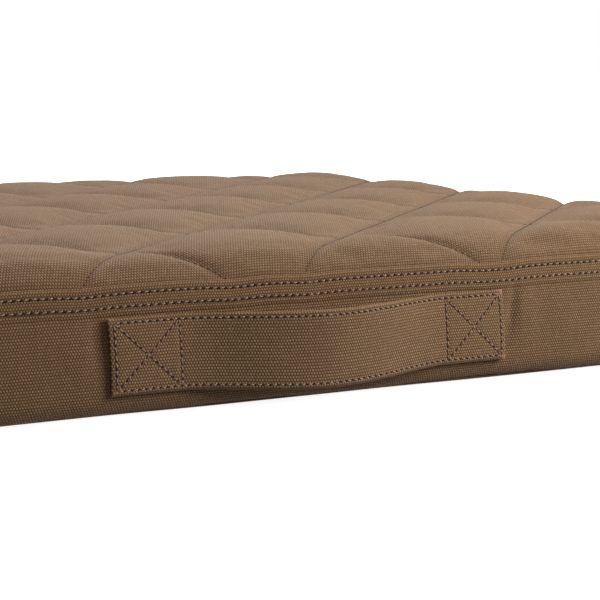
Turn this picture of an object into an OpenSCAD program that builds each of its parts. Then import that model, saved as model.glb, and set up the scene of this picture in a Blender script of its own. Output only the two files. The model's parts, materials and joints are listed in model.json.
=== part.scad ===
// Quilted canvas pet cushion bed: a box-shaped cover with a carry handle on its front side, a zip along its
// back side, and a loose insert. Millimetres. +Z is up, +X runs along the front side, and the handle faces -Y.
// The origin is the centre of the underside, on the surface that the bed lies on.

/* [Bed] */
// Width along the front side, from seam to seam
bed_w = 670; // [500:5:900]
// Depth from the front side to the back side, from seam to seam
bed_d = 545; // [420:5:800]
// Height of the top seam above the floor
seam_h = 64.5; // [64:0.5:100]
// Radius of the corners in plan, along the seam
corner_r = 45; // [38:1:80]
// How far the sides bulge out beyond the top seam
side_bulge = 8; // [5:0.5:14]
// Height at which the sides bulge most, which is also the radius of the roll under the bed
under_r = 11; // [9:0.5:11.5]
// How far the quilted top rises above its seam
crown_rise = 16; // [10:0.5:24]
// Distance from the seam over which the top rises
crown_run = 30; // [22:1:36]

/* [Fabric] */
// Thickness of the canvas
canvas_t = 1; // [0.6:0.1:1.6]
// Thickness of the wadding that is quilted under the top canvas
batting_t = 6; // [3:0.5:8]
// Thickness of the lining behind the wadding
backing_t = 0.5; // [0.3:0.1:1]
// Distance along the front side between quilting lines that run back to the left
pitch_left = 156; // [80:1:200]
// Distance along the front side between quilting lines that run back to the right
pitch_right = 125; // [80:1:200]
// Where one of the lines that run back to the left starts, from the middle of the front side
foot_left = -47; // [-80:1:80]
// Where one of the lines that run back to the right starts, from the middle of the front side
foot_right = -3; // [-80:1:80]
// Thickness of the sewing thread
thread_d = 0.8; // [0.4:0.1:1.2]
// Distance from the top seam down to the first row of topstitching
row_drop = 4; // [2:0.5:7]
// Distance between the two rows of topstitching
row_gap = 6.4; // [4:0.2:8]

/* [Handle] */
// Length of the handle strap, from end to end
strap_len = 234; // [180:2:300]
// Width of the handle strap
strap_w = 38; // [28:1:38]
// Thickness of the folded handle strap
strap_t = 2.4; // [1.6:0.2:4]
// Length of the strap that is sewn down at each end
sewn_len = 38; // [28:1:44]
// How far the free part of the strap stands out at its middle
strap_bow = 14; // [10:0.5:22]
// Distance from the top seam down to the top edge of the strap
strap_drop = 15; // [12:0.5:15.5]
// Distance from the strap's edge to its stitching
edge_margin = 3.5; // [2:0.5:5]

/* [Zip] */
// Height of the zip above the floor
zip_z = 30; // [28:1:37]
// Length of plain side between each end of the zip and the corner
zip_margin = 25; // [10:1:60]
// Width of the opening between the two strips that the zip is sewn to
zip_window = 10; // [9:0.5:14]
// Width of each zip tape
tape_w = 13; // [9:0.5:15]
// Thickness of a zip tape
tape_t = 0.6; // [0.4:0.1:0.8]
// Width of one closed row of teeth
coil_w = 2.6; // [2:0.1:3]
// How far the teeth stand out of the tape
coil_t = 1.5; // [1:0.1:1.8]
// Gap between the two rows of teeth, where the slider's post runs
coil_slot = 1.4; // [1.2:0.1:1.8]
// Length of the slider
slider_len = 11; // [9:0.5:14]
// Length of the slider's pull tab
pull_len = 26; // [18:1:36]

/* [Insert] */
// Thickness of the insert's liner
liner_t = 0.5; // [0.3:0.1:1]
// Gap between the cover's inner layers and the insert
insert_gap = 0.3; // [0.2:0.1:2]

/* [Hidden] */
$fn = 96;
SIDE_FN = 720;                 // for the long, shallow curves of the side and the strap
CROWN_FN = 360;

// Colours of the cloth, the thread and the zip
canvas_brown = [0.45, 0.36, 0.27];
strap_brown = [0.47, 0.38, 0.29];
thread_tan = [0.66, 0.56, 0.47];
lining_grey = [0.72, 0.70, 0.66];
wadding_white = [0.93, 0.93, 0.91];
zip_brown = [0.30, 0.23, 0.17];
metal_bronze = [0.42, 0.36, 0.28];

// The side's outline is two arcs that meet at its widest point, and the crown's is one more arc.
fit_gap = 0.1;                 // layers that are sewn together lie this far apart
side_r = (pow(side_bulge, 2) + pow(seam_h - under_r, 2)) / (2 * side_bulge);
side_x = side_bulge - side_r;
under_x = side_bulge - under_r;
crown_r = (pow(crown_rise, 2) + pow(crown_run, 2)) / (2 * crown_rise);
crown_z = seam_h + crown_rise - crown_r;
top_z = seam_h + crown_rise;
under_angle = 60;              // how far round the roll the bottom seam lies
bottom_seam_z = under_r * (1 - sin(under_angle));
lining_depth = canvas_t + batting_t + backing_t;
insert_depth = lining_depth + insert_gap;
straight_w = bed_w - 2 * corner_r;
straight_d = bed_d - 2 * corner_r;
section_depth = crown_run + 2;

// Handle
strap_bottom = seam_h - strap_drop - strap_w;
strap_top = strap_bottom + strap_w;
free_half = strap_len / 2 - sewn_len;
body_gap = 0.5;                // clearance between the moving grip and what it is sewn to
grip_half = free_half - body_gap;
grip_r = (pow(free_half, 2) + pow(strap_bow, 2)) / (2 * strap_bow);
grip_foot = side_bulge + fit_gap + body_gap;

// Zip
zip_len = straight_w - 2 * zip_margin;
zip_face = side_x + sqrt(pow(side_r, 2) - pow(zip_z - under_r, 2));
zip_y = bed_d / 2 + zip_face;
stop_len = 4;
stop_w = 5;
slider_w = 8.4;
plate_t = 1;
plate_gap = 0.8;               // running clearance between the slider's plates and the zip
post_w = 0.8;
post_len = 2;
bridge_w = 1.6;
bridge_len = 7;
bridge_h = 3.6;
pivot_r = 0.9;
pivot_gap = 0.1;
pull_w = 7;
pull_t = 1.4;
pull_neck = 4.4;               // from the pivot to where the tab is solid across
arm_gap = 0.4;                 // clearance between the bridge and the tab's arms
arm_w = (pull_w - bridge_w) / 2 - arm_gap;
pull_hole_r = 1.4;
park_gap = 1;                  // from the end clip to the slider when the zip is closed
slider_x = -(zip_len / 2 - stop_len - slider_len / 2 - park_gap);
coil_depth = canvas_t + fit_gap - coil_t;
plate_front = plate_gap - coil_depth;
plate_back = canvas_t + fit_gap + tape_t + plate_gap;
pivot_y = plate_front + plate_t + bridge_h / 2;

// ---------- outlines, drawn with x outwards from the seam line and y up ----------

// Solid outline of the side and the crown, lying depth below the outer surface, with a rolled edge on floor_z
module outline(depth, floor_z) {
    roll_r = under_r - depth;
    intersection() {
        translate([side_x, under_r]) circle(side_r - depth, $fn = SIDE_FN);
        translate([-crown_run, crown_z]) circle(crown_r - depth, $fn = CROWN_FN);
        translate([-section_depth, crown_z]) square([section_depth + side_bulge, crown_r]);
    }
    intersection() {
        translate([side_x, under_r]) circle(side_r - depth, $fn = SIDE_FN);
        translate([-section_depth, under_r]) square([section_depth + side_bulge, crown_z - under_r]);
    }
    translate([-section_depth, floor_z + roll_r])
        square([section_depth + under_x + roll_r, under_r - floor_z - roll_r]);
    intersection() {
        translate([under_x, floor_z + roll_r]) circle(roll_r);
        translate([under_x, floor_z]) square(roll_r);
    }
    translate([-section_depth, floor_z]) square([section_depth + under_x, roll_r]);
}

// A layer of the side that starts depth below its outer surface and is thickness thick, from z0 up to z1
module side_layer(depth, thickness, z0, z1) {
    intersection() {
        difference() {
            translate([side_x, under_r]) circle(side_r - depth, $fn = SIDE_FN);
            translate([side_x, under_r]) circle(side_r - depth - thickness, $fn = SIDE_FN);
        }
        translate([-corner_r / 2, z0]) square([corner_r, z1 - z0]);
    }
}

// A layer of the roll under the side, from z0 up to the side's widest point
module under_layer(depth, thickness, z0) {
    intersection() {
        difference() {
            translate([under_x, under_r]) circle(under_r - depth);
            translate([under_x, under_r]) circle(under_r - depth - thickness);
        }
        translate([under_x, z0]) square([under_r + 1, under_r - z0]);
    }
}

// A layer of the crown between its seam and its flat middle
module crown_layer(depth, thickness) {
    intersection() {
        difference() {
            translate([-crown_run, crown_z]) circle(crown_r - depth, $fn = CROWN_FN);
            translate([-crown_run, crown_z]) circle(crown_r - depth - thickness, $fn = CROWN_FN);
        }
        translate([-crown_run, seam_h]) square([crown_run, crown_rise + 1]);
    }
}

// Whole height of one canvas side, from the bottom seam to the top seam
module boxing_outline() {
    side_layer(0, canvas_t, under_r, seam_h);
    under_layer(0, canvas_t, bottom_seam_z);
}

// ---------- sweeps along the seam line ----------

// Sweeps an outline along a side that faces +Y, and round the corner at each end by the given angles
module sweep_side(length, left_turn = 45, right_turn = 45) {
    translate([-length / 2, 0, 0]) rotate([90, 0, 90]) linear_extrude(length) children();
    if (right_turn > 0)
        translate([length / 2, -corner_r, 0]) rotate([0, 0, 90 - right_turn])
            rotate_extrude(angle = right_turn) translate([corner_r, 0]) children();
    if (left_turn > 0)
        translate([-length / 2, -corner_r, 0]) rotate([0, 0, 90])
            rotate_extrude(angle = left_turn) translate([corner_r, 0]) children();
}

// Places something that faces +Y on one side of the bed
module on_front() { rotate([0, 0, 180]) translate([0, bed_d / 2, 0]) children(); }
module on_back() { translate([0, bed_d / 2, 0]) children(); }
module on_left() { rotate([0, 0, 90]) translate([0, bed_w / 2, 0]) children(); }
module on_right() { rotate([0, 0, -90]) translate([0, bed_w / 2, 0]) children(); }

// Sweeps an outline all the way round the bed
module sweep_round() {
    on_front() sweep_side(straight_w, 0, 90) children();
    on_right() sweep_side(straight_d, 0, 90) children();
    on_back() sweep_side(straight_w, 0, 90) children();
    on_left() sweep_side(straight_d, 0, 90) children();
}

// Rounded rectangle that lies inset inside the seam line
module plan(inset) {
    r = corner_r - inset;
    x = bed_w / 2 - corner_r;
    y = bed_d / 2 - corner_r;
    square([2 * x, 2 * (y + r)], center = true);
    square([2 * (x + r), 2 * y], center = true);
    for (sx = [-1, 1], sy = [-1, 1])
        translate([sx * x, sy * y]) circle(r);
}

// Flat plate that lies inset inside the seam line, from z0 up to z1
module plate(inset, z0, z1) {
    translate([0, 0, z0]) linear_extrude(z1 - z0) plan(inset);
}

// One layer of the quilted top
module top_layer(depth, thickness) {
    sweep_round() crown_layer(depth, thickness);
    plate(crown_run, top_z - depth - thickness, top_z - depth);
}

// ---------- cover ----------

module top_face() { color(canvas_brown) top_layer(0, canvas_t); }
module quilt_batting() { color(wadding_white) top_layer(canvas_t, batting_t); }
module quilt_backing() { color(lining_grey) top_layer(canvas_t + batting_t, backing_t); }

// One family of parallel quilting lines, whose feet stand on the front seam
module quilt_lines(foot, pitch, turn) {
    reach = bed_w + bed_d;
    count = ceil(reach / pitch);
    for (i = [-count : count])
        translate([foot + i * pitch, -bed_d / 2]) rotate(turn) square([2 * reach, thread_d], center = true);
}

// Two crossing families of diagonal quilting lines on the flat middle of the top
module quilting_thread() {
    color(thread_tan)
        translate([0, 0, top_z + fit_gap / 2]) linear_extrude(thread_d / 2)
            intersection() {
                plan(crown_run + thread_d);
                union() {
                    quilt_lines(foot_left, pitch_left, -45);
                    quilt_lines(foot_right, pitch_right, 45);
                }
            }
}

module front_boxing() { color(canvas_brown) on_front() sweep_side(straight_w) boxing_outline(); }
module left_boxing() { color(canvas_brown) on_left() sweep_side(straight_d) boxing_outline(); }
module right_boxing() { color(canvas_brown) on_right() sweep_side(straight_d) boxing_outline(); }

module back_boxing_upper() {
    color(canvas_brown) on_back() sweep_side(zip_len, 0, 0)
        side_layer(0, canvas_t, zip_z + zip_window / 2, seam_h);
}
module back_boxing_lower() {
    color(canvas_brown) on_back() sweep_side(zip_len, 0, 0) {
        side_layer(0, canvas_t, under_r, zip_z - zip_window / 2);
        under_layer(0, canvas_t, bottom_seam_z);
    }
}

// Plain piece of the back side between one end of the zip and the corner, at the end that faces +X
module back_end() {
    on_back() translate([(straight_w - zip_margin) / 2, 0, 0]) sweep_side(zip_margin, 0, 45) boxing_outline();
}
module back_boxing_right_end() { color(canvas_brown) back_end(); }
module back_boxing_left_end() { color(canvas_brown) mirror([1, 0, 0]) back_end(); }

module bottom_panel() {
    color(canvas_brown) {
        sweep_round() intersection() {
            difference() {
                translate([under_x, under_r]) circle(under_r);
                translate([under_x, under_r]) circle(under_r - canvas_t);
            }
            translate([under_x, 0]) square([under_r, bottom_seam_z]);
        }
        plate(-under_x, 0, canvas_t);
    }
}

// One row of topstitching round the bed, drop below the top seam
module seam_row(drop) {
    z = seam_h - drop;
    color(thread_tan) sweep_round() side_layer(-thread_d / 2 - fit_gap / 2, thread_d / 2, z - thread_d, z);
}
module top_seam_thread_upper() { seam_row(row_drop); }
module top_seam_thread_lower() { seam_row(row_drop + row_gap); }

// ---------- handle ----------

// A flat layer on the front side, over one sewn end of the strap: side is -1 for the left end, 1 for the right
module over_sewn_end(side, depth, thickness) {
    on_front() translate([-side * (strap_len - sewn_len) / 2, 0, 0]) sweep_side(sewn_len, 0, 0)
        side_layer(depth, thickness, strap_bottom, strap_top);
}

module handle_end(side) { color(strap_brown) over_sewn_end(side, -strap_t - fit_gap, strap_t); }
module handle_end_left() { handle_end(-1); }
module handle_end_right() { handle_end(1); }

// Square of canvas behind the side, which the strap's end is sewn through to
module handle_patch(side) { color(lining_grey) over_sewn_end(side, canvas_t + fit_gap / 2, canvas_t); }
module handle_patch_left() { handle_patch(-1); }
module handle_patch_right() { handle_patch(1); }

// Boxed cross of stitching on one sewn end
module handle_thread(side) {
    box_w = sewn_len - 2 * edge_margin;
    box_h = strap_w - 2 * edge_margin;
    color(thread_tan) intersection() {
        over_sewn_end(side, -strap_t - fit_gap - thread_d / 2 - fit_gap / 2, thread_d / 2);
        translate([side * (strap_len - sewn_len) / 2, 0, (strap_top + strap_bottom) / 2])
            rotate([90, 0, 0]) linear_extrude(bed_d) {
                difference() {
                    square([box_w, box_h], center = true);
                    square([box_w - 2 * thread_d, box_h - 2 * thread_d], center = true);
                }
                for (turn = [-1, 1])
                    rotate(turn * atan2(box_h, box_w))
                        square([norm([box_w, box_h]) - 2 * thread_d, thread_d], center = true);
            }
    }
}
module handle_thread_left() { handle_thread(-1); }
module handle_thread_right() { handle_thread(1); }

// The bowed free part of the strap, or a layer on it, from z0 up to z1
module grip_layer(start, thickness, z0, z1) {
    inner_r = grip_r + start;
    on_front() translate([0, grip_foot + strap_bow - grip_r, z0]) linear_extrude(z1 - z0)
        intersection() {
            difference() {
                circle(inner_r + thickness, $fn = SIDE_FN);
                circle(inner_r, $fn = SIDE_FN);
            }
            translate([-grip_half, 0]) square([2 * grip_half, inner_r + thickness + 1]);
        }
}
module handle_grip() { color(strap_brown) grip_layer(0, strap_t, strap_bottom, strap_top); }
module handle_grip_thread() {
    color(thread_tan)
        for (z = [strap_bottom + edge_margin, strap_top - edge_margin - thread_d])
            grip_layer(strap_t + fit_gap / 2, thread_d / 2, z, z + thread_d);
}

// ---------- zip ----------

// A strip of the zip, along the whole zip: z0 and z1 are heights above the zip's middle
module zip_strip(depth, thickness, z0, z1) {
    on_back() sweep_side(zip_len, 0, 0) side_layer(depth, thickness, zip_z + z0, zip_z + z1);
}

module zip_tape_upper() {
    color(zip_brown) zip_strip(canvas_t + fit_gap, tape_t, coil_slot / 2, coil_slot / 2 + tape_w);
}
module zip_tape_lower() {
    color(zip_brown) zip_strip(canvas_t + fit_gap, tape_t, -coil_slot / 2 - tape_w, -coil_slot / 2);
}

// Two rows of teeth stand on the outer face of the tapes
module zip_coil_upper() {
    color(zip_brown) zip_strip(coil_depth, coil_t, coil_slot / 2, coil_slot / 2 + coil_w);
}
module zip_coil_lower() {
    color(zip_brown) zip_strip(coil_depth, coil_t, -coil_slot / 2 - coil_w, -coil_slot / 2);
}

// A row of topstitching along the folded edge of each strip beside the zip
module zip_thread() {
    row_z = zip_window / 2 + row_drop / 2;
    color(thread_tan)
        for (z = [row_z, -row_z - thread_d])
            zip_strip(-thread_d / 2 - fit_gap / 2, thread_d / 2, z, z + thread_d);
}

// A metal clip over the teeth at each end of the zip
module zip_stops() {
    color(metal_bronze)
        for (side = [-1, 1])
            on_back() translate([side * (zip_len - stop_len) / 2, 0, 0]) sweep_side(stop_len, 0, 0)
                side_layer(coil_depth - plate_t, plate_t - fit_gap / 2, zip_z - stop_w / 2, zip_z + stop_w / 2);
}

// Two plates joined by a post, with a bored bridge on the outer plate
module zip_slider() {
    color(metal_bronze) translate([slider_x, zip_y, zip_z]) {
        translate([-slider_len / 2, plate_front, -slider_w / 2]) cube([slider_len, plate_t, slider_w]);
        translate([-slider_len / 2, -plate_back - plate_t, -slider_w / 2]) cube([slider_len, plate_t, slider_w]);
        translate([-slider_len / 2, -plate_back - plate_t / 2, -post_w / 2])
            cube([post_len, plate_back + plate_front + plate_t, post_w]);
        difference() {
            translate([-bridge_len / 2, plate_front + plate_t / 2, -bridge_w / 2])
                cube([bridge_len, bridge_h + plate_t / 2, bridge_w]);
            translate([0, pivot_y, -bridge_w])
                cylinder(r = pivot_r + pivot_gap, h = 2 * bridge_w);
        }
    }
}

// Pull tab: a cross pin in the bridge, an arm on each side of it, and a flat tab with a round end
module zip_pull() {
    color(metal_bronze) translate([slider_x, zip_y + pivot_y, zip_z]) {
        translate([0, 0, -pull_w / 2]) cylinder(r = pivot_r, h = pull_w);
        for (z = [-pull_w / 2, pull_w / 2 - arm_w])
            translate([0, -pull_t / 2, z]) cube([pull_neck + 1, pull_t, arm_w]);
        rotate([90, 0, 0]) linear_extrude(pull_t, center = true)
            difference() {
                union() {
                    translate([pull_neck, -pull_w / 2]) square([pull_len - pull_neck - pull_w / 2, pull_w]);
                    translate([pull_len - pull_w / 2, 0]) circle(pull_w / 2);
                }
                translate([pull_len - pull_w / 2, 0]) circle(pull_hole_r);
            }
    }
}

// ---------- insert ----------

// Solid of the insert, lying depth below the cover's outer surface and standing on floor_z
module insert_solid(depth, floor_z) {
    sweep_round() outline(depth, floor_z);
    plate(section_depth, floor_z, top_z - depth);
}

module insert_fill() { color(wadding_white) insert_solid(insert_depth + liner_t, canvas_t + fit_gap + liner_t); }
module insert_liner() {
    color(lining_grey) difference() {
        insert_solid(insert_depth, canvas_t + fit_gap);
        insert_solid(insert_depth + liner_t, canvas_t + fit_gap + liner_t);
    }
}

top_face();
quilt_batting();
quilt_backing();
quilting_thread();
front_boxing();
left_boxing();
right_boxing();
back_boxing_upper();
back_boxing_lower();
back_boxing_left_end();
back_boxing_right_end();
bottom_panel();
top_seam_thread_upper();
top_seam_thread_lower();
handle_end_left();
handle_end_right();
handle_grip();
handle_patch_left();
handle_patch_right();
handle_thread_left();
handle_thread_right();
handle_grip_thread();
zip_tape_upper();
zip_tape_lower();
zip_coil_upper();
zip_coil_lower();
zip_thread();
zip_stops();
zip_slider();
zip_pull();
insert_liner();
insert_fill();
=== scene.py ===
"""Looks of the quilted canvas pet bed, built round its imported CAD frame. Lengths are in metres."""

import json
import math

import bmesh
import bpy
import numpy as np
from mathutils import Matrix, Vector, noise

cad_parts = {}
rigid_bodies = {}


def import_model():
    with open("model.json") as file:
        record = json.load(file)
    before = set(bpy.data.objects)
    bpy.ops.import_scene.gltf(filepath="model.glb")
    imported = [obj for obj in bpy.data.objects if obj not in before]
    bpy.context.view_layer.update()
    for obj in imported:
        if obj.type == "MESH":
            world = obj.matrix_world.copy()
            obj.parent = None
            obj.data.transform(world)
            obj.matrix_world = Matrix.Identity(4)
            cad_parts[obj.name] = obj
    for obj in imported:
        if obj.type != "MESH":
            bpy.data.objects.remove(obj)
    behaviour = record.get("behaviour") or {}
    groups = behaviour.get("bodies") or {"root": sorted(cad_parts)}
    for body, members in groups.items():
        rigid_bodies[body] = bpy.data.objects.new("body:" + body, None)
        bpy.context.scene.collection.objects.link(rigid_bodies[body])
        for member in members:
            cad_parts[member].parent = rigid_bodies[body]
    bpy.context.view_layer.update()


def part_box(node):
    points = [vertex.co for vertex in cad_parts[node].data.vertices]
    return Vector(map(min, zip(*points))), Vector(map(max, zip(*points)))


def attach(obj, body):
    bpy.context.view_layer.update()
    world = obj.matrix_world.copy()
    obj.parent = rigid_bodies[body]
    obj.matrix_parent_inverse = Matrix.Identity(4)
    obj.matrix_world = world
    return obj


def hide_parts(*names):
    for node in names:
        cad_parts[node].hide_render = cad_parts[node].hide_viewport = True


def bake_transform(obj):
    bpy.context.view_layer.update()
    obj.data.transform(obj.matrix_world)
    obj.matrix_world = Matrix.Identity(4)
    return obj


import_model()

MM = 0.001

# ---------------------------------------------------------------- sizes, from the frame
TOP_LOW, TOP_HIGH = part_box("top_face")
HALF_W = TOP_HIGH.x
HALF_D = TOP_HIGH.y
SEAM_Z = TOP_LOW.z
BULGE = -HALF_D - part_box("front_boxing")[0].y
CORNER_R = 45 * MM
UNDER_R = 11 * MM                      # roll of the side under the bed
UNDER_ANGLE = math.radians(60)         # how far round the roll the bottom seam lies
CANVAS_T = 1 * MM
LINING_DEPTH = 8.3 * MM                # from the outer face of the cover to the filling of the insert

SIDE_R = (BULGE ** 2 + (SEAM_Z - UNDER_R) ** 2) / (2 * BULGE)
SIDE_ANGLE = math.asin((SEAM_Z - UNDER_R) / SIDE_R)
SIDE_LEN = SIDE_R * SIDE_ANGLE
ROLL_LEN = UNDER_R * UNDER_ANGLE
BOXING_LEN = SIDE_LEN + ROLL_LEN

STRAIGHT_X = HALF_W - CORNER_R
STRAIGHT_Y = HALF_D - CORNER_R
ARC_LEN = CORNER_R * math.pi / 2
PERIMETER = 4 * (STRAIGHT_X + STRAIGHT_Y + ARC_LEN)

# Seams and stitches
ROW_DROPS = (4 * MM, 10.4 * MM)        # topstitching below the ridge
STITCH = PERIMETER / round(PERIMETER / (4.2 * MM))
FOLD_R = 0.8 * MM                      # the folded ridge along the top seam
FOLD_START = -FOLD_R * math.radians(150)
ALLOWANCE = 13 * MM                    # seam allowance that lies behind the topstitching

# Quilting: a diagonal lattice, and the lines that are sewn on it, counted in lattice steps
LATTICE_X = 214
LATTICE_Y = 174
DOWN_LINES = (92, 50)                  # first line and spacing of the family that runs down to the right
UP_LINES = (66, 40)                    # first line and spacing of the family that runs up to the right
VALLEY_RISE = 10.9 * MM                # how far the sewn lines rise above the seam
PUFF = 6.4 * MM                        # how far the wadding stands above the sewn lines
BACK_FLATTER = 0.45                    # how much less the wadding puffs at the back than at the front
BACK_RISE = 1.2 * MM                   # and how much higher the sewn lines lie there
CROWN_RUN = 30 * MM                    # how far inside the seam the crown is reached
EDGE_RUN = 26 * MM                     # how far inside the seam the puffs are full
TOP_INSET = 1.0 * MM                   # from the seam in to the edge of the quilt
TOP_DROP = 0.4 * MM                    # and down to it
QUILT_T = 2.2 * MM                     # thickness of the quilt where it is sewn through
START_SHARE = 0.9                      # of the puff that is there before the simulation
FARTHEST = 4 * MM                      # that the simulation may move a point

# Seams of the side, measured along the top seam from the middle of the front
BACK = PERIMETER / 2
CORNER_T = STRAIGHT_X + ARC_LEN / 2
FAR_CORNER_T = CORNER_T + ARC_LEN + 2 * STRAIGHT_Y
CORNERS = [-CORNER_T, -FAR_CORNER_T, CORNER_T, FAR_CORNER_T]

# Zip
ZIP_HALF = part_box("back_boxing_upper")[1].x
WINDOW_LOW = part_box("back_boxing_lower")[1].z
WINDOW_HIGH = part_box("back_boxing_upper")[0].z
ZIP_ROW = 2.4 * MM                     # from the folded edge beside the zip to its stitching
TOOTH = 1.5 * MM

# Handle
END_LOW, END_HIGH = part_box("handle_end_left")
STRAP_LOW, STRAP_HIGH = (corner.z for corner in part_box("handle_grip"))
STRAP_MID = (STRAP_HIGH + STRAP_LOW) / 2
HALF_STRAP_W = (STRAP_HIGH - STRAP_LOW) / 2
STRAP_HALF = -END_LOW.x                # half of its length
FREE_HALF = -END_HIGH.x                # half of its free part
STRAP_T = 2.4 * MM
STRAP_BOW = 14 * MM
STRAP_EDGE = 2.6 * MM                  # from its edges to its stitching
BOX_OUTER = STRAP_HALF - STRAP_EDGE    # the boxed cross of stitching reaches to where the strap comes free
BOX_INNER = FREE_HALF + 0.2 * MM
BOX_HALF = (BOX_OUTER - BOX_INNER) / 2
BOX_MIDDLE = (BOX_OUTER + BOX_INNER) / 2
BOX_TALL = HALF_STRAP_W - STRAP_EDGE   # half of its height


def smooth(x):
    x = np.clip(x, 0, 1)
    return x * x * (3 - 2 * x)


def bell(x, width):
    return np.exp(-(x / width) ** 2)


def waves(x, y, scale, seed):
    """Smooth noise between about -1 and 1 at each point."""
    values = [noise.noise((a / scale, b / scale, seed)) for a, b in zip(np.ravel(x), np.ravel(y))]
    return np.array(values).reshape(np.shape(x)) * 1.6


# ---------------------------------------------------------------- meshes
def add_mesh(name, points, faces, uv, marks, material):
    """A smooth-shaded mesh object. uv is one pair per point, marks a dictionary of one number per point."""
    mesh = bpy.data.meshes.new(name)
    mesh.from_pydata([tuple(point) for point in points], [], faces)
    mesh.polygons.foreach_set("use_smooth", [True] * len(mesh.polygons))
    if uv is not None:
        layer = mesh.uv_layers.new(name="cloth")
        loops = np.zeros(len(mesh.loops), np.int32)
        mesh.loops.foreach_get("vertex_index", loops)
        layer.data.foreach_set("uv", np.asarray(uv, np.float32)[loops].ravel())
    for key, values in (marks or {}).items():
        layer = mesh.attributes.new(key, "FLOAT", "POINT")
        layer.data.foreach_set("value", np.asarray(values, np.float32).ravel())
    obj = bpy.data.objects.new(name, mesh)
    bpy.context.scene.collection.objects.link(obj)
    if material:
        mesh.materials.append(material)
    return obj


def grid_faces(rows, cols, closed=False):
    """Faces of a grid of rows x cols points, where closed joins the last column to the first."""
    faces = []
    for i in range(rows - 1):
        for j in range(cols if closed else cols - 1):
            k = (j + 1) % cols
            faces.append((i * cols + j, i * cols + k, (i + 1) * cols + k, (i + 1) * cols + j))
    return faces


def turned(faces):
    """The same faces, facing the other way."""
    return [tuple(reversed(face)) for face in faces]


def thicken(obj, thickness):
    solid = obj.modifiers.new("thickness", "SOLIDIFY")
    solid.thickness = thickness
    solid.offset = -1.0
    solid.use_even_offset = False


def edit_mesh(obj, change):
    """Passes the mesh through bmesh and one change."""
    edit = bmesh.new()
    edit.from_mesh(obj.data)
    change(edit)
    edit.to_mesh(obj.data)
    edit.free()


def settle(obj, body, slot_name, *replaced):
    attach(obj, body)
    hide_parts(*replaced)


# ---------------------------------------------------------------- the seam line and the sides
def along_seam(t):
    """Point on the seam line and outward direction, at a distance to the right of the middle of the front."""
    t = np.asarray(t, float) % PERIMETER
    x, y, nx, ny = (np.zeros_like(t) for _ in range(4))
    runs = [(STRAIGHT_X, (0, -HALF_D), (1, 0)), None,
            (2 * STRAIGHT_Y, (HALF_W, -STRAIGHT_Y), (0, 1)), None,
            (2 * STRAIGHT_X, (STRAIGHT_X, HALF_D), (-1, 0)), None,
            (2 * STRAIGHT_Y, (-HALF_W, STRAIGHT_Y), (0, -1)), None,
            (STRAIGHT_X, (-STRAIGHT_X, -HALF_D), (1, 0))]
    corners = iter([(STRAIGHT_X, -STRAIGHT_Y, -90), (STRAIGHT_X, STRAIGHT_Y, 0),
                    (-STRAIGHT_X, STRAIGHT_Y, 90), (-STRAIGHT_X, -STRAIGHT_Y, 180)])
    start = 0.0
    for run in runs:
        length = run[0] if run else ARC_LEN
        here = (t >= start) & (t <= start + length)
        if run:
            (px, py), (dx, dy) = run[1], run[2]
            x[here] = px + dx * (t[here] - start)
            y[here] = py + dy * (t[here] - start)
            nx[here], ny[here] = dy, -dx
        else:
            cx, cy, first = next(corners)
            angle = math.radians(first) + (t[here] - start) / CORNER_R
            nx[here], ny[here] = np.cos(angle), np.sin(angle)
            x[here] = cx + CORNER_R * nx[here]
            y[here] = cy + CORNER_R * ny[here]
        start += length
    return x, y, nx, ny


def side_outline(s):
    """Outward distance, height and outward normal (out, up) of the side, s below the ridge along it."""
    s = np.asarray(s, float)
    on_side = s < SIDE_LEN
    angle = np.where(on_side, SIDE_ANGLE - s / SIDE_R, -(s - SIDE_LEN) / UNDER_R)
    radius = np.where(on_side, SIDE_R, UNDER_R)
    out = BULGE - radius + radius * np.cos(angle)
    up = UNDER_R + radius * np.sin(angle)
    fold = SIDE_ANGLE - s / FOLD_R
    out = np.where(s < 0, FOLD_R * (np.cos(fold) - math.cos(SIDE_ANGLE)), out)
    up = np.where(s < 0, SEAM_Z + FOLD_R * (np.sin(fold) - math.sin(SIDE_ANGLE)), up)
    angle = np.where(s < 0, fold, angle)
    return out, up, np.cos(angle), np.sin(angle)


def line_feet():
    """Distances along the front seam at which the quilting lines meet it."""
    step = 2 * HALF_W / LATTICE_X
    feet = []
    for first, gap in (DOWN_LINES, UP_LINES):
        feet += [-HALF_W + step * (first % gap + gap * i) for i in range(LATTICE_X // gap + 1)]
    return np.array([f for f in feet if abs(f) < STRAIGHT_X])


FEET = line_feet()


def from_front(t):
    """The same place along the seam, counted from the middle of the front the shorter way round."""
    return (np.asarray(t, float) + BACK) % PERIMETER - BACK


def ridge_dip(t):
    """How far the ridge is pulled down where a quilting line meets it."""
    u = from_front(t)
    on_front = np.abs(u) < STRAIGHT_X
    pull = sum(bell(u - foot, 14 * MM) for foot in FEET)
    most, elsewhere = 1.3, 0.4
    return 0.9 * MM * np.where(on_front, np.minimum(pull, most), elsewhere)


def depth_at(z):
    """Distance below the ridge, along the cloth, of a height on the upper part of the side."""
    return SIDE_LEN - SIDE_R * np.arcsin(np.clip((np.asarray(z, float) - UNDER_R) / SIDE_R, -1, 1))


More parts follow.
